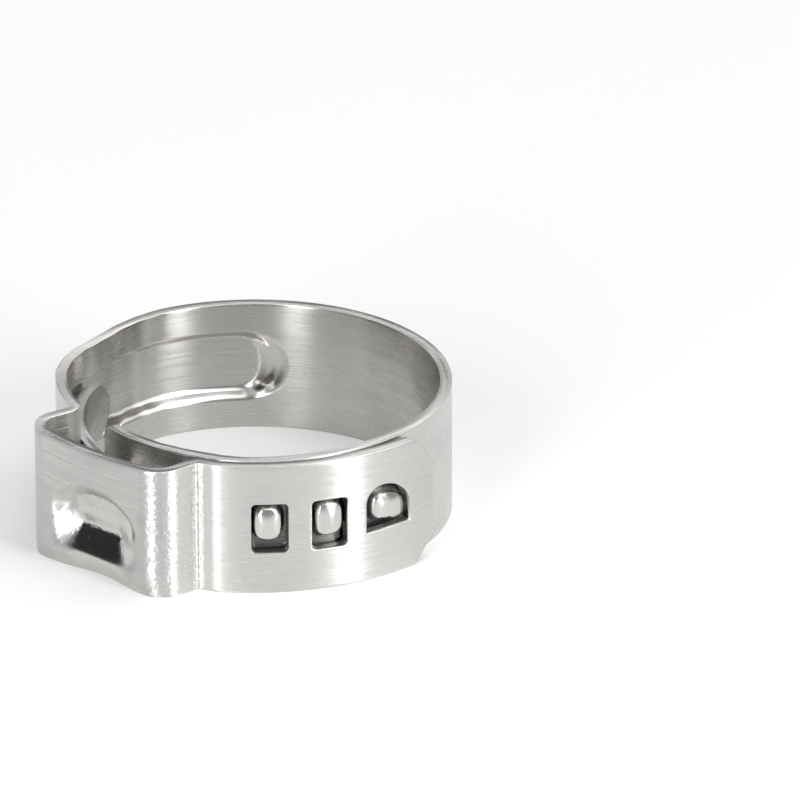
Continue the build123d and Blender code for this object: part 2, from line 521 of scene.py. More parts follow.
@dataclass(frozen=True)
class Spring:
    """How far the open strip has sprung out of round, outwards, by the angle along it.

    Each knot holds an angle in degrees and an offset in millimetres.
    """

    knots: tuple[tuple[float, float], ...] = (
        # The tongue and the inner layer lean in under the ear.
        (-80, -0.78), (-64, -0.82), (-45, -0.94), (-30, -0.96), (-10, -0.82), (4, -0.65),
        (16, -0.5), (24, -0.4), (30, -0.28), (35, -0.12), (42, 0.0),
        # The ring is a little out of round on its way to the far foot.
        (228, 0.0), (240, 0.03), (252, 0.03), (259, -0.07), (267, -0.2), (277, -0.37), (283, -0.34),
        (292, -0.11), (299, -0.01), (306, 0.0), (316, -0.12), (325, -0.24), (332, -0.38),
    )
    settle: float = 2.0
    foot_dip: float = 0.13
    foot_run: float = 0.95

    def at(self, degrees: float) -> float:
        """Finds the offset at an angle, smooth from knot to knot.

        Args:
            degrees: Angle along the strip.

        Returns:
            The offset.
        """
        for (start, first), (stop, last) in pairwise(self.knots):
            if degrees <= stop:
                return first + (last - first) * ease((degrees - start) / (stop - start))
        return self.knots[-1][1]


@dataclass(frozen=True)
class DimpleSizes:
    """Wedge-shaped dimple in the ear top, and the lower edge that it draws in."""

    left_end: float = -2.8
    left_floor: float = -1.25
    right_floor: float = 1.25
    right_end: float = 3.25
    toe: float = 0.5
    crease: float = 2.5
    brow: float = 5.15
    brow_middle: float = 0.4
    depth: float = 1.15
    bend: float = 0.16
    brow_wall: float = 0.3
    brow_depth: float = 0.62
    brow_blend: float = 0.4
    draw_in: float = 0.8
    draw_middle: float = 0.3
    draw_spread: float = 2.6
    draw_height: float = 1.2


@dataclass(frozen=True)
class WearAndShade:
    """Where the punches have polished the strip and bending has roughened it, and where shade is painted on
    it.
    """

    crown_reach: float = 3.6
    flank_fade: float = 0.4
    polish_share: float = 0.5
    hook_polish: float = 0.7
    bend_strains: tuple[float, ...] = (0.7, 0.8, 0.9, 1.0)
    strain_reach: float = 0.35
    floor_strain_at: float = 0.75
    floor_strain_spread: float = 0.3
    brow_strain: float = 0.6
    brow_strain_at: float = 0.1
    # Painted shade on the tongue and in the window recesses around the hooks.
    tongue_shade: float = 0.5
    shade_reach: float = 0.45
    unshaded_share: float = 0.55


@dataclass(frozen=True)
class GridSizes:
    """Distances between the blank's grid lines, and how far the closer ones reach."""

    plain: float = 0.3
    tongue: float = 0.12
    shoulder: float = 0.08
    channel_end: float = 0.12
    before_channel_end: float = 3.0
    past_channel_end: float = 1.0
    bend: float = 0.07
    dimple: float = 0.11
    dimple_reach: float = 3.3
    window: float = 0.1
    window_margin: float = 0.3
    hook: float = 0.08
    hook_margin: float = 0.2
    free_end: float = 0.14
    free_end_margin: float = 1.0
    plain_level: float = 0.19
    face_level: float = 0.12
    face_levels: tuple[float, float] = (0.4, 5.5)
    wall_level: float = 0.06
    wall_levels: tuple[tuple[float, float], ...] = ((1.2, 2.1), (4.9, 5.8))


class Spot(NamedTuple):
    """Point of the flat blank, in millimetres.

    It lies along the strip from the tongue's tip, up from the strip's lower edge, and outwards
    from the middle of the thickness.
    """

    along: float
    level: float
    depth: float


@dataclass
class ClampBand:
    """The whole clamp: tongue, inner layer, ring, channel, ear and outer layer."""

    strip: StripSizes = StripSizes()
    ear: EarSizes = EarSizes()
    tongue: TongueSizes = TongueSizes()
    end: EndSizes = EndSizes()
    dimple: DimpleSizes = DimpleSizes()
    hook: HookSizes = HookSizes()
    spring: Spring = Spring()
    wear_and_shade: WearAndShade = WearAndShade()
    grid: GridSizes = GridSizes()
    windows: tuple[WindowSizes, ...] = (
        WindowSizes(
            Punch.SQUARE, angle=48.0, length=1.85, sill=2.2, height=2.7, corner=0.25,
            hook_length=1.5, hook_height=2.05, hook_level=3.8, hook_shift=-0.1,
        ),
        WindowSizes(
            Punch.SQUARE, angle=64.3, length=1.85, sill=2.2, height=2.7, corner=0.25,
            hook_length=1.55, hook_height=2.1, hook_level=3.78,
        ),
        WindowSizes(
            Punch.DEE, angle=82.2, length=2.7, sill=2.6, height=2.5, corner=0.95,
            hook_length=2.2, hook_height=1.7, hook_level=3.8, hook_shift=0.1, low_side=0.95,
        ),
    )
    dee_blend: float = 1.2

    def __post_init__(self) -> None:
        """Lays the two routes: along the strip's edges, and along the channel's floor."""
        shape = (self.strip, self.ear, self.tongue, self.end)
        self.route = Route(*shape, self.strip.inner_middle).lay()
        self.floor_route = Route(*shape, self.strip.outer_middle).lay()
        self.total = sum(self.route.lengths)
        self.shoulder = self.route.start_of(Course.RING)
        self.crown_middle = self.route.start_of(Course.CROWN) + self.route.lengths[Course.CROWN] / 2
        self.channel_stop = self.route.ring_distance(360 + self.tongue.channel_end)
        self.window_middles = [self.route.lap_distance(window.angle) for window in self.windows]
        self.hook_middles = [
            self.route.ring_distance(window.angle) + window.hook_shift for window in self.windows
        ]

    def build(self) -> bpy.types.Object:
        """Punches the flat blank, gives it thickness, and bends it.

        Returns:
            The clamp as one mesh object.
        """
        bm = bmesh.new()
        self._grid(bm)
        self._punch(bm)
        for vertex in bm.verts:
            vertex.co.xy = self._rounded(vertex.co.x, vertex.co.y)
        self._thicken(bm)
        self._bend(bm)
        mesh = bpy.data.meshes.new("clamp_strip")
        bm.to_mesh(mesh)
        bm.free()
        mesh.transform(Matrix.Scale(MM, 4))
        mesh.shade_smooth()
        return put("clamp_strip", mesh)

    def dress(self, piece: bpy.types.Object, finish: "SteelFinish") -> None:
        """Gives the clamp its steel and its place in the frame.

        Args:
            piece: The built clamp.
            finish: Its steel.
        """
        piece.data.materials.append(finish.material())
        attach(piece, "root")
        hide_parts("clamp_band")

    def _stations(self) -> list[float]:
        """Works out the grid lines across the strip.

        Returns:
            Their distances from the tongue's tip, in rising order.
        """
        grid = self.grid
        half = self.tongue.width / 2
        web = self.tongue.shoulder_corner
        channel = self.channel_stop
        crown = self.crown_middle
        marks = [0, half, self.shoulder - web, self.shoulder, self.shoulder + web, self.total]
        marks += [self.route.start_of(course) for course in Course]
        zones = [
            Zone(0, half, grid.tongue),
            Zone(self.shoulder - web, self.shoulder + web, grid.shoulder),
            Zone(self.total - self.end.corner - grid.free_end_margin, self.total, grid.free_end),
            Zone(channel - grid.before_channel_end, channel + grid.past_channel_end, grid.channel_end),
            Zone(crown - grid.dimple_reach, crown + grid.dimple_reach, grid.dimple),
        ]
        for bend in BENDS:
            start = self.route.start_of(bend)
            zones.append(Zone(start, start + self.route.lengths[bend], grid.bend))
        for window, middle, hook in zip(self.windows, self.window_middles, self.hook_middles):
            reach = window.length / 2
            inner = reach - window.corner
            marks += [middle - reach, middle - inner, middle + inner, middle + reach]
            margin = grid.window_margin
            zones.append(Zone(middle - reach - margin, middle + reach + margin, grid.window))
            reach = window.hook_length / 2
            margin = grid.hook_margin
            zones.append(Zone(hook - reach - margin, hook + reach + margin, grid.hook))
        return spaced_lines(marks, zones, grid.plain)

    def _levels(self) -> list[float]:
        """Works out the grid lines along the strip.

        Returns:
            Their heights on the strip, in rising order.
        """
        grid = self.grid
        half = self.tongue.width / 2
        middle = self.strip.middle_level
        web = self.tongue.shoulder_corner
        marks = [0, self.strip.width]
        for side in (-1, 1):
            marks += [middle + side * half, middle + side * (half + web)]
        for window in self.windows:
            top = window.sill + window.height
            marks += [window.sill, window.sill + window.corner, top - window.corner, top]
        zones = [Zone(*levels, grid.wall_level) for levels in grid.wall_levels]
        zones.append(Zone(*grid.face_levels, grid.face_level))
        return spaced_lines(marks, zones, grid.plain_level)

    def _grid(self, bm: bmesh.types.BMesh) -> None:
        """Makes the uncut blank, flat, with X along the strip and Y up.

        Args:
            bm: Empty mesh that takes the blank.
        """
        stations = self._stations()
        levels = self._levels()
        columns = len(stations) - 1
        rows = len(levels) - 1
        bmesh.ops.create_grid(bm, x_segments=columns, y_segments=rows, size=1)
        for vertex in bm.verts:
            column = round((vertex.co.x + 1) / 2 * columns)
            row = round((vertex.co.y + 1) / 2 * rows)
            vertex.co = (stations[column], levels[row], 0)

    def _punch(self, bm: bmesh.types.BMesh) -> None:
        """Removes what lies beside the tongue and in the windows."""
        scrap = [face for face in bm.faces if self._is_scrap(face.calc_center_median())]
        bmesh.ops.delete(bm, geom=scrap, context="FACES")

    def _is_scrap(self, point: Vector) -> bool:
        """Tells whether a point of the blank is cut away.

        Args:
            point: Point of the flat blank.

        Returns:
            True beside the tongue and in the windows.
        """
        from_middle = abs(point.y - self.strip.middle_level)
        if point.x < self.shoulder and from_middle > self.tongue.width / 2:
            return True
        for window, middle in zip(self.windows, self.window_middles):
            beside = abs(point.x - middle) < window.length / 2
            if beside and 0 < point.y - window.sill < window.height:
                return True
        return False

    def _rounded(self, along: float, level: float) -> tuple[float, float]:
        """Draws the square corners of the blank round.

        Args:
            along: Distance from the tongue's tip.
            level: Height on the strip.

        Returns:
            The two after rounding.
        """
        middle = self.strip.middle_level
        half = self.tongue.width / 2
        web = self.tongue.shoulder_corner
        corner = self.end.corner
        point = Vector((along, level))
        for side in (-1, 1):
            point = round_corner(point, Vector((half, middle)), (-1, side), half)
            notch = Vector((self.shoulder - web, middle + side * (half + web)))
            point = round_corner(point, notch, (1, -side), web)
            inset = Vector((self.shoulder + web, middle + side * (middle - web)))
            point = round_corner(point, inset, (-1, side), web)
            inset = Vector((self.total - corner, middle + side * (middle - corner)))
            point = round_corner(point, inset, (1, side), corner)
        for window, centre in zip(self.windows, self.window_middles):
            point = self._round_window(point, window, centre)
        bow = self.end.bow - math.sqrt(self.end.bow**2 - (point.y - middle) ** 2)
        drawn = ease(1 - (self.total - point.x) / self.end.bow_reach)
        return point.x - bow * drawn, point.y

    def _round_window(self, point: Vector, window: WindowSizes, centre: float) -> Vector:
        """Rounds a window's corners, and draws a D's top down to its low side.

        Args:
            point: Point of the flat blank.
            window: Window near which the point may lie.
            centre: Distance from the tongue's tip to the window's middle.

        Returns:
            The point after rounding.
        """
        inner = window.length / 2 - window.corner
        low = window.sill + window.corner
        high = window.sill + window.height - window.corner
        if window.form is Punch.DEE:
            upper = Vector((centre - inner, high))
            point = round_corner(point, upper, (-1, 1), window.corner)
            return Vector((point.x, self._under_dee(point, window, centre)))
        for level, rise in ((low, -1), (high, 1)):
            for side in (-1, 1):
                corner = Vector((centre + side * inner, level))
                point = round_corner(point, corner, (side, rise), window.corner)
        return point

    def _under_dee(self, point: Vector, window: WindowSizes, centre: float) -> float:
        """Draws the top of a D down along its arc.

        Args:
            point: Point of the flat blank.
            window: The D.
            centre: Distance from the tongue's tip to the D's middle.

        Returns:
            The point's height on the strip after that.
        """
        reach = window.length / 2
        fall = window.height - window.low_side
        run = window.length - window.corner
        radius = (run**2 + fall**2) / (2 * fall)
        across = min(max(point.x - centre + reach - window.corner, 0), run)
        drop = radius - math.sqrt(radius**2 - across**2)
        drop *= 1 - ease((point.x - centre - reach) / self.dee_blend)
        top = window.sill + window.height
        share = (self.strip.width - point.y) / (self.strip.width - top)
        if point.y <= top:
            share = max(0.0, (point.y - window.sill) / window.height)
        return point.y - drop * share

    def _thicken(self, bm: bmesh.types.BMesh) -> None:
        """Gives the flat blank its thickness and rounds the cut edges.

        Args:
            bm: The punched blank.
        """
        half = self.strip.thickness / 2
        grown = bmesh.ops.extrude_face_region(bm, geom=bm.faces[:])
        raised = [item for item in grown["geom"] if isinstance(item, bmesh.types.BMVert)]
        bmesh.ops.translate(bm, verts=bm.verts[:], vec=(0, 0, -half))
        bmesh.ops.translate(bm, verts=raised, vec=(0, 0, 2 * half))
        bmesh.ops.recalc_face_normals(bm, faces=bm.faces[:])
        rims = [edge for edge in bm.edges if edge.is_manifold and edge.calc_face_angle() > SHARP_ANGLE]
        rims = [edge for edge in rims if abs(edge.verts[0].co.z - edge.verts[1].co.z) < half]
        bmesh.ops.bevel(
            bm, geom=rims, offset=self.strip.edge_round, offset_type="OFFSET", segments=2,
            profile=0.5, affect="EDGES", material=-1, clamp_overlap=True,
        )

    def _bend(self, bm: bmesh.types.BMesh) -> None:
        """Bends the thick blank along its route and keeps what the finish reads.

        Args:
            bm: The thick blank.
        """
        flat = bm.verts.layers.float_vector.new("blank")
        marks = (
            (bm.verts.layers.float.new("burnished"), self._burnished),
            (bm.verts.layers.float.new("strained"), self._strained),
            # The third layer holds painted shade: darker on the tongue and in the windows around the hooks.
            (bm.verts.layers.float.new("painted_shade"), self._painted_shade),
        )
        across = bm.loops.layers.uv.new("across")
        width = self.strip.width
        for face in bm.faces:
            for loop in face.loops:
                along, level, depth = loop.vert.co
                loop[across].uv = ((level + depth) / width, (along + depth) / width)
        for vertex in bm.verts:
            spot = Spot(*vertex.co)
            vertex[flat] = spot
            for layer, marked in marks:
                vertex[layer] = marked(spot)
            vertex.co = self.placed(spot)

    def _burnished(self, spot: Spot) -> float:
        """Works out how far the punches have polished a point.

        Args:
            spot: Point of the flat blank.

        Returns:
            A share from 0 to 1, highest half way down a wall.
        """
        wear_and_shade = self.wear_and_shade
        x = spot.along - self.crown_middle
        if abs(x) < wear_and_shade.crown_reach:
            flank = 1 - ease((self.dimple.left_floor - x) / wear_and_shade.flank_fade)
            polished = wear_and_shade.polish_share * self.dimple.depth
            return flank * ease(-self._dimpled(spot) / polished)
        press = self._channel(spot)
        hooked = min(1.0, self._hooked(spot) / self.hook.rise)
        return max(wear_and_shade.hook_polish * hooked, 4 * press * (1 - press))

    def _strained(self, spot: Spot) -> float:
        """Works out how far bending and pressing have roughened a point.

        Args:
            spot: Point of the flat blank.

        Returns:
            A share from 0 to 1.
        """
        wear_and_shade = self.wear_and_shade
        strain = 0.0
        for bend, share in zip(BENDS, wear_and_shade.bend_strains):
            half = self.route.lengths[bend] / 2
            reach = half + wear_and_shade.strain_reach
            past = abs(spot.along - (self.route.start_of(bend) + half)) - reach / 2
            strain = max(strain, share * (1 - ease(past / (reach / 2))))
        if abs(spot.along - self.crown_middle) < wear_and_shade.crown_reach:
            sunk = -self._dimpled(spot) / self.dimple.depth
            floor = bell(sunk - wear_and_shade.floor_strain_at, wear_and_shade.floor_strain_spread)
            brow = wear_and_shade.brow_strain * bell(sunk - wear_and_shade.brow_strain_at, wear_and_shade.brow_strain_at)
            strain = max(strain, floor, brow)
        return strain

    def _painted_shade(self, spot: Spot) -> float:
        """Works out how much painted shade darkens a point: on the tongue, for its dark reflection, and in
        the windows around the hooks, for the shade in those recesses.

        Args:
            spot: Point of the flat blank.

        Returns:
            A share from 0 to 1.
        """
        wear_and_shade = self.wear_and_shade
        reach = wear_and_shade.shade_reach
        tongue = self.route.ring_distance(self.tongue.shoulder_angle)
        # Painted shade on the tongue, standing for its dark reflection.
        shaded = wear_and_shade.tongue_shade * (1 - ease((spot.along - tongue + reach) / reach))
        if spot.depth <= 0:
            return shaded
        # Painted shade in each window's recess, left off the raised hook.
        for window, middle in zip(self.windows, self.hook_middles):
            aside = abs(spot.along - middle) - window.hook_length / 2
            centre = window.sill + window.height / 2
            beyond = abs(spot.level - centre) - window.height / 2
            inside = 1 - ease(max(aside - reach, beyond) / reach)
            unshaded = 1 - ease(self._hooked(spot) / (wear_and_shade.unshaded_share * self.hook.rise))
            shaded = max(shaded, inside * unshaded)
        return shaded

    def placed(self, spot: Spot) -> Vector:
        """Finds where a point of the flat blank ends up.

        Args:
            spot: Point of the flat blank.

        Returns:
            The point on the bent clamp, in millimetres.
        """
        course, share = self.route.locate(spot.along)
        edge_point, edge_heading = self.route.stretches[course].place(share)
        floor_point, floor_heading = self.floor_route.stretches[course].place(share)
        press = self._channel(spot)
        point = edge_point.lerp(floor_point, press)
        heading = edge_heading.lerp(floor_heading, press).normalized()
        outwards = -left_of(heading)
        raised = spot.depth + self._sprung(spot.along) + self._hooked(spot)
        if Course.FAR_LEG < course < Course.NEAR_LEG:
            raised += self._dimpled(spot)
        point = point + outwards * raised
        return Vector((point.x, point.y, spot.level))

    def _channel(self, spot: Spot) -> float:
        """Works out how far a point is pressed towards the channel's floor.

        Args:
            spot: Point of the flat blank.

        Returns:
            A share from 0 to 1.
        """
        tongue = self.tongue
        if spot.along < self.shoulder + tongue.clear_of_shoulder:
            return 0.0
        short = max(0.0, self.channel_stop - spot.along)
        from_middle = math.hypot(short, spot.level - self.strip.middle_level)
        steep = tongue.channel_slope
        endwise = (short / max(from_middle, steep)) ** 2
        slope = steep + (tongue.channel_end_slope - steep) * endwise
        widened = (slope - steep) * tongue.end_widening
        half = tongue.channel_half + spot.depth * steep / self.strip.thickness + widened
        mouth, end = (self.route.ring_distance(angle) for angle in tongue.channel_mouth)
        fade = 1 - ease((spot.along - mouth) / (end - mouth))
        bend = tongue.wall_bend + tongue.end_wall_bend * endwise
        return ramp((half - from_middle) / slope + 0.5, bend) * fade

    def _sprung(self, along: float) -> float:
        """Works out how far a layer has sprung out of round.

        Args:
            along: Distance from the tongue's tip.

        Returns:
            The offset outwards, in millimetres.
        """
        past = max(0.0, along - self.route.start_of(Course.FAR_FOOT))
        if past > self.spring.settle:
            foot = self.route.start_of(Course.NEAR_FOOT)
            lap = self.route.start_of(Course.OUTER_LAYER)
            pressed = ease((along - foot) / (lap - foot))
            pressed *= 1 - ease((along - lap) / self.spring.foot_run)
            return -self.spring.foot_dip * pressed
        degrees = self.tongue.tip_angle + math.degrees((along - past) / self.route.ring_radius)
        return self.spring.at(degrees) * (1 - ease(past / self.spring.settle))

    def _hooked(self, spot: Spot) -> float:
        """Works out how far the hooks push a point of the inner layer out.

        Args:
            spot: Point of the flat blank.

        Returns:
            The offset outwards, in millimetres.
        """
        hook = self.hook
        push = 0.0
        for window, middle in zip(self.windows, self.hook_middles):
            x = (spot.along - middle) / (window.hook_length / 2)
            y = (spot.level - window.hook_level) / (window.hook_height / 2)
            if window.form is Punch.DEE:
                y += hook.dee_fall * ease((x - hook.dee_start) / hook.dee_run)
            if max(abs(x), abs(y)) > hook.reach:
                continue
            away = (abs(x) ** hook.squareness + abs(y) ** hook.squareness) ** (1 / hook.squareness)
            if spot.depth > 0:
                wall = 1 - ease((away - hook.wall_start) / hook.wall_run)
                dome = 1 - hook.dome_fall * min(away, 1) ** 2
                push += hook.rise * wall * dome
            else:
                push += hook.dent * (1 - ease(away / hook.dent_reach))
        return push

    def _dimpled(self, spot: Spot) -> float:
        """Works out how far the dimple and the drawn-in lower edge lie outwards.

        Args:
            spot: Point of the flat blank.

        Returns:
            The offset in millimetres, negative where the ear top is pressed in.
        """
        dimple = self.dimple
        x = spot.along - self.crown_middle
        above = (spot.level - dimple.crease) / (dimple.brow - dimple.crease)
        closing = ease(above)
        left_floor = dimple.left_floor + (dimple.brow_middle - dimple.left_floor) * closing
        right_floor = dimple.right_floor + (dimple.brow_middle - dimple.right_floor) * closing
        left = (left_floor - x) / (left_floor - dimple.left_end)
        right = (x - right_floor) / (dimple.right_end - right_floor)
        below = (dimple.crease - spot.level) / (dimple.crease - dimple.toe)
        inwards = 1 - math.hypot(max(0.0, left, right), max(above, below))
        if inwards < dimple.brow_wall:
            steep = inwards / dimple.brow_wall * dimple.brow_depth
        else:
            rest = (1 - dimple.brow_depth) / (1 - dimple.brow_wall)
            steep = dimple.brow_depth + (inwards - dimple.brow_wall) * rest
        inwards += (steep - inwards) * ease(above / dimple.brow_blend)
        bowl = -dimple.depth * ramp(inwards, dimple.bend)
        drawn = bell(x - dimple.draw_middle, dimple.draw_spread)
        edge = -dimple.draw_in * drawn * (1 - ease(spot.level / dimple.draw_height))
        return bowl + edge


@dataclass(frozen=True)
class Grain:
    """Noise stretched along the strip, with its cycles per millimetre each way.

    The grain is full where the noise passes high, and gone where it is under low.
    """

    along: float
    across: float
    through: float
    detail: float
    turn: float = 0.0
    shift: float = 0.0
    low: float = 0.0
    high: float = 1.0


class Nodes:
    """Short hand for laying out one material's nodes."""

    def __init__(self, tree: bpy.types.NodeTree) -> None:
        """Keeps the tree to work on."""
        self.tree = tree

    def add(self, kind: str, **inputs: object) -> bpy.types.Node:
        """Adds a node and fills or links its inputs.

        Args:
            kind: Node type without its ShaderNode prefix.
            inputs: Input names, with underscores for spaces, and values or sockets.

        Returns:
            The node.
        """
        node = self.tree.nodes.new("ShaderNode" + kind)
        for name, value in inputs.items():
            self.feed(node.inputs[name.replace("_", " ")], value)
        return node

    def feed(self, socket: bpy.types.NodeSocket, value: object) -> None:
        """Fills one input.

        Args:
            socket: The input.
            value: Value to set, or output to link.
        """
        if isinstance(value, bpy.types.NodeSocket):
            self.tree.links.new(value, socket)
        else:
            socket.default_value = value

    def math(self, operation: str, *values: object) -> bpy.types.NodeSocket:
        """Adds a sum, product or comparison.

        Args:
            operation: Name of the operation.
            values: Values or sockets to work on.

        Returns:
            The result.
        """
        node = self.tree.nodes.new("ShaderNodeMath")
        node.operation = operation
        for socket, value in zip(node.inputs, values):
            self.feed(socket, value)
        return node.outputs[0]

    def spread(
        self, value: object, low: float, high: float, to_low: float = 0.0, to_high: float = 1.0
    ) -> bpy.types.NodeSocket:
        """Adds a smooth change from one value to another.

        Args:
            value: Socket that drives the change.
            low: Where the change starts.
            high: Where it is complete.
            to_low: Result at the start.
            to_high: Result at the end.

        Returns:
            The result.
        """
        node = self.add(
            "MapRange", Value=value, From_Min=low, From_Max=high, To_Min=to_low, To_Max=to_high
        )
        node.interpolation_type = "SMOOTHSTEP"
        return node.outputs["Result"]

    def mix(self, factor: object, first: object, second: object) -> bpy.types.NodeSocket:
        """Adds a mix of two numbers."""
        return self.add("Mix", Factor=factor, A=first, B=second).outputs["Result"]

    def tint(self, factor: object, first: object, second: object) -> bpy.types.NodeSocket:
        """Adds a mix of two colours.

        Args:
            factor: Share of the second colour.
            first: First colour.
            second: Second colour.

        Returns:
            The mixed colour.
        """
        node = self.add("Mix")
        node.data_type = "RGBA"
        for name, value in (("Factor", factor), ("A", first), ("B", second)):
            self.feed(node.inputs[name], value)
        return node.outputs["Result"]

    def attribute(self, name: str, output: str = "Fac") -> bpy.types.NodeSocket:
        """Adds a node that reads one of the mesh's attributes.

        Args:
            name: Name of the attribute.
            output: Name of the node's output.

        Returns:
            The attribute's value.
        """
        node = self.add("Attribute")
        node.attribute_name = name
        return node.outputs[output]

    def noise(self, place: bpy.types.NodeSocket, grain: Grain) -> bpy.types.NodeSocket:
        """Adds the noise of a grain.

        Args:
            place: Position on the flat blank, in millimetres.
            grain: How the noise is stretched, turned and shifted.

        Returns:
            The noise's value, about 0.5.
        """
        turned_place = self.add("Mapping", Vector=place)
        turned_place.inputs["Rotation"].default_value = (0, 0, math.radians(grain.turn))
        turned_place.inputs["Location"].default_value = (grain.shift,) * 3
        stretched = self.add("Mapping", Vector=turned_place.outputs["Vector"])
        stretched.inputs["Scale"].default_value = (grain.along, grain.across, grain.through)
        noise = self.add("TexNoise", Vector=stretched.outputs["Vector"], Scale=1.0, Detail=grain.detail)
        return noise.outputs["Fac"]

    def bump(
        self, height: object, distance: float, strength: object = 1.0, normal: object = None
    ) -> bpy.types.NodeSocket:
        """Adds relief over other relief.

        Args:
            height: Socket that drives the relief.
            distance: Height in millimetres.
            strength: Share of the relief that shows.
            normal: Normal of the other relief.

        Returns:
            The normal.
        """
        node = self.add("Bump", Height=height, Distance=distance * MM, Strength=strength)
        if normal is not None:
            self.feed(node.inputs["Normal"], normal)
        return node.outputs["Normal"]


@dataclass
class StripMarks:
    """Sockets that the parts of the steel's finish share."""

    blank: bpy.types.NodeSocket
    depth: bpy.types.NodeSocket
    cut: bpy.types.NodeSocket
    streaks: bpy.types.NodeSocket
    fine: bpy.types.NodeSocket
    scratches: bpy.types.NodeSocket
    strained: bpy.types.NodeSocket


@dataclass(frozen=True)
class SteelFinish:
    """Bright rolled stainless strip with streaks, scratches and strained bends, and painted shade on its
    bore side, on the tongue and in the windows around the hooks.
    """

    color: Color = (0.63, 0.62, 0.605, 1.0)
    # Painted shade: the bore side is darker than the outer side, for the dark reflections inside the ring.
    inner_shade_color: Color = (0.56, 0.55, 0.535, 1.0)
    cut_color: Color = (0.48, 0.47, 0.46, 1.0)
    # Painted shade: the dark colour laid on the tongue and on the window recesses around the hooks.
    painted_shade_color: Color = (0.07, 0.068, 0.065, 1.0)
    painted_shade_strength: float = 0.85
    fine_tint: float = 0.12
    side_blend: float = 0.05
    face_depth: float = 0.29
    cut_depth: float = 0.25
    roughness: float = 0.27
    streak_dulling: tuple[float, float] = (-0.03, 0.04)
    smudge_dulling: float = 0.05
    scratch_dulling: float = 0.1
    strain_dulling: float = 0.1
    burnished_roughness: float = 0.12
    cut_roughness: float = 0.27
    stretch: float = 0.94
    wave_height: float = 0.008
    ripple_height: float = 0.3
    streak_height: float = 0.0012
    fine_height: float = 0.0006
    scratch_depth: float = 0.0018
    pit_height: float = 0.04
    cut_pitting: float = 0.5
    streaks: Grain = Grain(0.06, 8.0, 4.0, 4.0, low=0.3, high=0.75)
    fine: Grain = Grain(0.25, 22.0, 9.0, 2.0, shift=4.0, low=0.35, high=0.7)
    ripples: Grain = Grain(0.16, 0.3, 1.5, 1.0, shift=12.0)
    waves: Grain = Grain(0.22, 0.4, 0.3, 1.0, shift=9.0)
    pits: Grain = Grain(5.0, 5.5, 5.5, 3.0, shift=2.0)
    smudges: Grain = Grain(0.35, 0.5, 0.4, 3.0, shift=23.0, low=0.45, high=0.75)
    cuts: tuple[Grain, ...] = (
        Grain(0.3, 11.0, 5.0, 2.0, turn=1.5, shift=17.0, low=0.69, high=0.76),
        Grain(0.35, 13.0, 5.0, 2.0, turn=14.0, shift=31.0, low=0.74, high=0.79),
        Grain(0.5, 13.0, 5.0, 2.0, turn=-52.0, shift=47.0, low=0.77, high=0.81),
    )

    def material(self) -> bpy.types.Material:
        """Makes the material.

        Returns:
            A metal whose streaks follow the blank's own lengthwise direction.
        """
        material = bpy.data.materials.new("stainless_strip")
        material.use_nodes = True
        nodes = Nodes(material.node_tree)
        marks = self._marks(nodes)
        shader = material.node_tree.nodes["Principled BSDF"]
        nodes.feed(shader.inputs["Roughness"], self._dullness(nodes, marks))
        nodes.feed(shader.inputs["Base Color"], self._tone(nodes, marks))
        nodes.feed(shader.inputs["Normal"], self._relief(nodes, marks))
        shader.inputs["Metallic"].default_value = 1.0
        shader.inputs["Anisotropic"].default_value = self.stretch
        across = nodes.add("Tangent")
        across.direction_type = "UV_MAP"
        across.uv_map = "across"
        nodes.feed(shader.inputs["Tangent"], across.outputs["Tangent"])
        return material

    def _marks(self, nodes: Nodes) -> StripMarks:
        """Lays out the marks that more than one part of the finish reads.

        Args:
            nodes: Node tree to add to.

        Returns:
            The marks' sockets.
        """
        blank = nodes.attribute("blank", "Vector")
        depth = nodes.add("SeparateXYZ", Vector=blank).outputs["Z"]
        cut = nodes.spread(nodes.math("ABSOLUTE", depth), self.face_depth, self.cut_depth)
        scratches = None
        for grain in reversed(self.cuts):
            scratch = nodes.spread(nodes.noise(blank, grain), grain.low, grain.high)
            scratches = scratch if scratches is None else nodes.math("MAXIMUM", scratch, scratches)
        return StripMarks(
            blank, depth, cut, nodes.noise(blank, self.streaks), nodes.noise(blank, self.fine),
            scratches, nodes.attribute("strained"),
        )

    def _dullness(self, nodes: Nodes, marks: StripMarks) -> bpy.types.NodeSocket:
        """Lays out the roughness.

        Args:
            nodes: Node tree to add to.
            marks: Sockets of the marks on the strip.

        Returns:
            The roughness.
        """
        bright, dull = (self.roughness + change for change in self.streak_dulling)
        rough = nodes.spread(marks.streaks, self.streaks.low, self.streaks.high, bright, dull)
        smudges = nodes.noise(marks.blank, self.smudges)
        smudges = nodes.spread(smudges, self.smudges.low, self.smudges.high, 0.0, self.smudge_dulling)
        rough = nodes.math("ADD", rough, smudges)
        rough = nodes.math("ADD", rough, nodes.math("MULTIPLY", marks.scratches, self.scratch_dulling))
        rough = nodes.math("ADD", rough, nodes.math("MULTIPLY", marks.strained, self.strain_dulling))
        rough = nodes.mix(nodes.attribute("burnished"), rough, self.burnished_roughness)
        return nodes.mix(marks.cut, rough, self.cut_roughness)

    def _tone(self, nodes: Nodes, marks: StripMarks) -> bpy.types.NodeSocket:
        """Lays out the colour.

        Args:
            nodes: Node tree to add to.
            marks: Sockets of the marks on the strip.

        Returns:
            The colour.
        """
        # Painted shade: faces turned to the bore take the darker inner colour.
        outside = nodes.spread(marks.depth, -self.side_blend, self.side_blend)
        streaked = nodes.spread(marks.fine, self.fine.low, self.fine.high, 0.0, self.fine_tint)
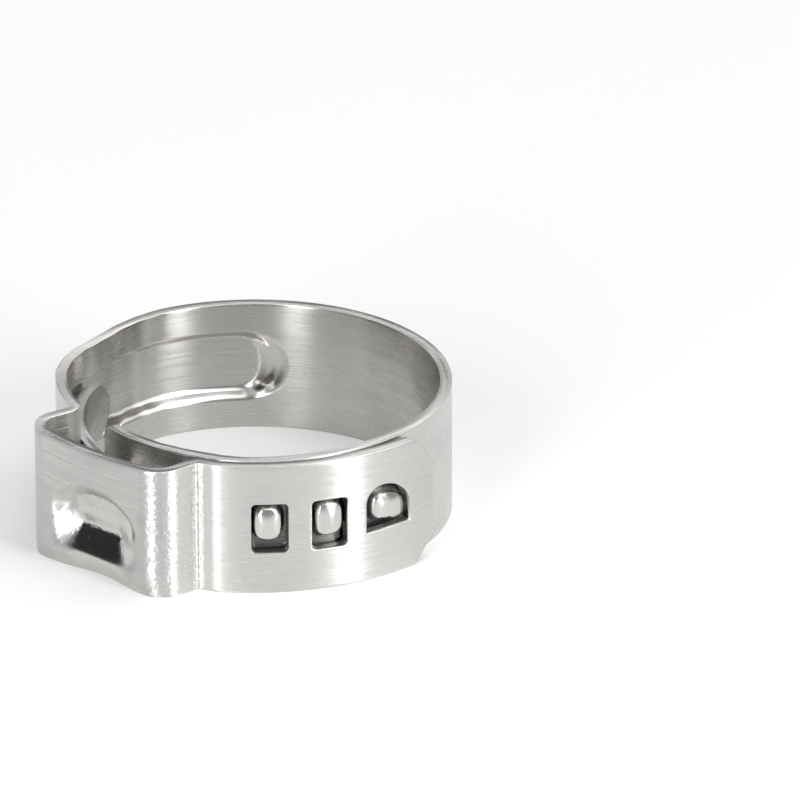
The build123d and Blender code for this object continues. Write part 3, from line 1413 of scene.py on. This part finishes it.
        # Painted shade on the tongue and in the window recesses around the hooks.
        darkened = nodes.math("MULTIPLY", nodes.attribute("painted_shade"), self.painted_shade_strength)
        tone = nodes.tint(outside, self.inner_shade_color, self.color)
        tone = nodes.tint(streaked, tone, self.cut_color)
        tone = nodes.tint(darkened, tone, self.painted_shade_color)
        return nodes.tint(marks.cut, tone, self.cut_color)

    def _relief(self, nodes: Nodes, marks: StripMarks) -> bpy.types.NodeSocket:
        """Lays out the fine relief.

        Args:
            nodes: Node tree to add to.
            marks: Sockets of the marks on the strip.

        Returns:
            The normal.
        """
        relief = nodes.bump(nodes.noise(marks.blank, self.waves), self.wave_height)
        ripples = nodes.noise(marks.blank, self.ripples)
        relief = nodes.bump(ripples, self.ripple_height, strength=marks.cut, normal=relief)
        relief = nodes.bump(marks.streaks, self.streak_height, normal=relief)
        relief = nodes.bump(marks.fine, self.fine_height, normal=relief)
        relief = nodes.bump(marks.scratches, -self.scratch_depth, normal=relief)
        pitted = nodes.math("MAXIMUM", marks.strained, nodes.math("MULTIPLY", marks.cut, self.cut_pitting))
        pits = nodes.noise(marks.blank, self.pits)
        return nodes.bump(pits, self.pit_height, strength=pitted, normal=relief)


@dataclass(frozen=True)
class Lamp:
    """One soft rectangular lamp that faces the object."""

    name: str
    azimuth: float
    elevation: float
    distance: float
    width: float
    height: float
    glow: float

    def hang(self, away: Vector) -> None:
        """Hangs the lamp.

        Args:
            away: Unit direction from the object to the lamp.
        """
        data = bpy.data.lights.new(self.name, "AREA")
        data.shape = "RECTANGLE"
        data.size = self.width
        data.size_y = self.height
        data.energy = self.glow * math.pi * self.width * self.height
        lamp = put(self.name, data)
        lamp.location = away * self.distance
        lamp.rotation_euler = away.to_track_quat("Z", "Y").to_euler()


@dataclass(frozen=True)
class Panel:
    """Round pale or dark panel of the studio, seen only in the metal, with its reach in degrees."""

    azimuth: float
    elevation: float
    outer: float
    inner: float
    level: float


@dataclass(frozen=True)
class Studio:
    """Pale floor, soft light and the camera."""

    azimuth: float = 43.73
    elevation: float = 24.38
    roll: float = -0.45
    distance: float = 0.59
    nearest: float = 0.01
    pixels_per_mm: float = 19.48
    centre_pixel: tuple[float, float] = (253.4, 441.5)
    picture: float = 800.0
    sensor: float = 36.0
    fill_level: float = 0.58
    horizon_level: float = 0.75
    floor_half: float = 2.0
    floor_color: float = 0.93
    floor_roughness: float = 0.9
    floor_glow: float = 0.15
    panels: tuple[Panel, ...] = (
        # Bright ceiling, high at the back right, for the channel's lower wall.
        Panel(140, 56, outer=50, inner=36, level=2.0),
        # Dark card at the front left, for the dimple's floor.
        Panel(-42, 28, outer=36, inner=26, level=0.03),
        # Grey card above the camera.
        Panel(45, 34, outer=34, inner=22, level=0.3),
        # Grey card at the back left with a bright one over it, for the rims.
        Panel(223, 18, outer=34, inner=20, level=0.42),
        Panel(223, 42, outer=22, inner=8, level=1.5),
        # Grey card low at the back right.
        Panel(155, 6, outer=42, inner=22, level=0.3),
    )
    lamps: tuple[Lamp, ...] = (
        Lamp("right_strip", 90, 19, distance=0.8, width=0.19, height=0.56, glow=11.0),
        Lamp("front_strip", 17, 19, distance=0.8, width=0.2, height=0.56, glow=9.0),
        Lamp("overhead_softbox", 125, 68, distance=0.7, width=0.42, height=0.36, glow=2.2),
    )

    def direction(self, azimuth: float, elevation: float) -> Vector:
        """Finds the direction towards a place around the object.

        Args:
            azimuth: Degrees from the ear's side, counter-clockwise from above.
            elevation: Degrees above the floor.

        Returns:
            The unit direction.
        """
        turn = math.radians(azimuth)
        rise = math.radians(elevation)
        level = math.cos(rise)
        return Vector((math.sin(turn) * level, -math.cos(turn) * level, math.sin(rise)))

    def place_camera(self, target: Vector) -> None:
        """Aims a long lens at the clamp's middle and shifts the picture to frame it.

        Args:
            target: Point of the object at the centre pixel.
        """
        data = bpy.data.cameras.new("studio_camera")
        data.sensor_width = self.sensor
        data.lens = self.pixels_per_mm * self.distance / MM / self.picture * self.sensor
        data.shift_x = (self.picture / 2 - self.centre_pixel[0]) / self.picture
        data.shift_y = (self.centre_pixel[1] - self.picture / 2) / self.picture
        data.clip_start = self.nearest
        camera = put("studio_camera", data)
        away = self.direction(self.azimuth, self.elevation)
        camera.location = target + away * self.distance
        aim = (-away).to_track_quat("-Z", "Y").to_matrix().to_4x4()
        roll = Matrix.Rotation(math.radians(self.roll), 4, "Z")
        camera.matrix_world = Matrix.Translation(camera.location) @ aim @ roll
        bpy.context.scene.camera = camera

    def light(self) -> None:
        """Hangs the soft lamps and sets the pale surroundings."""
        self._surround()
        for lamp in self.lamps:
            lamp.hang(self.direction(lamp.azimuth, lamp.elevation))

    def _surround(self) -> None:
        """Makes the world white where it is seen, even as a light, and panelled in reflections."""
        world = bpy.data.worlds.new("studio")
        bpy.context.scene.world = world
        world.use_nodes = True
        nodes = Nodes(world.node_tree)
        background = world.node_tree.nodes["Background"]
        background.inputs["Color"].default_value = (1, 1, 1, 1)
        path = nodes.add("LightPath")
        ray = nodes.add("TexCoord").outputs["Generated"]
        level = self.horizon_level
        for panel in self.panels:
            towards = nodes.add("VectorMath")
            towards.operation = "DOT_PRODUCT"
            nodes.feed(towards.inputs[0], ray)
            nodes.feed(towards.inputs[1], self.direction(panel.azimuth, panel.elevation))
            edges = (math.cos(math.radians(reach)) for reach in (panel.outer, panel.inner))
            level = nodes.mix(nodes.spread(towards.outputs["Value"], *edges), level, panel.level)
        mirrored = nodes.math("MAXIMUM", path.outputs["Is Glossy Ray"], path.outputs["Is Transmission Ray"])
        lit = nodes.mix(mirrored, self.fill_level, level)
        nodes.feed(background.inputs["Strength"], nodes.mix(path.outputs["Is Camera Ray"], lit, 1.0))

    def lay_floor(self) -> bpy.types.Object:
        """Lays the plain pale floor.

        Returns:
            The floor.
        """
        bm = bmesh.new()
        bmesh.ops.create_grid(bm, x_segments=8, y_segments=8, size=self.floor_half)
        mesh = bpy.data.meshes.new("studio_floor")
        bm.to_mesh(mesh)
        bm.free()
        mesh.materials.append(self._floor_material())
        floor = put("studio_floor", mesh)
        return floor

    def _floor_material(self) -> bpy.types.Material:
        """Makes the floor's matt paint, a little of it white by itself where it is seen.

        Returns:
            The material.
        """
        material = bpy.data.materials.new("studio_floor")
        material.use_nodes = True
        nodes = Nodes(material.node_tree)
        shader = material.node_tree.nodes["Principled BSDF"]
        shader.inputs["Base Color"].default_value = (self.floor_color,) * 3 + (1,)
        shader.inputs["Roughness"].default_value = self.floor_roughness
        path = nodes.add("LightPath")
        seen = nodes.math("MAXIMUM", path.outputs["Is Camera Ray"], path.outputs["Is Glossy Ray"])
        seen = nodes.math("MAXIMUM", seen, path.outputs["Is Transmission Ray"])
        white = nodes.add("Emission", Color=(1, 1, 1, 1), Strength=1.0)
        shown = nodes.add("MixShader", Fac=nodes.math("MULTIPLY", seen, self.floor_glow))
        nodes.feed(shown.inputs[1], shader.outputs["BSDF"])
        nodes.feed(shown.inputs[2], white.outputs["Emission"])
        output = material.node_tree.nodes["Material Output"]
        nodes.feed(output.inputs["Surface"], shown.outputs["Shader"])
        return material


def main() -> None:
    """Builds and dresses the clamp and its studio."""
    logging.basicConfig(level=logging.INFO, format="%(message)s")
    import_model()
    bpy.context.scene.view_settings.view_transform = "Standard"
    band = ClampBand()
    piece = band.build()
    band.dress(piece, SteelFinish())
    studio = Studio()
    floor = studio.lay_floor()
    studio.light()
    studio.place_camera(Vector((0, 0, band.strip.middle_level * MM)))
    for made in (piece, floor):
        log.info("%s: %d faces", made.name, len(made.data.polygons))


if __name__ == "__main__":
    main()
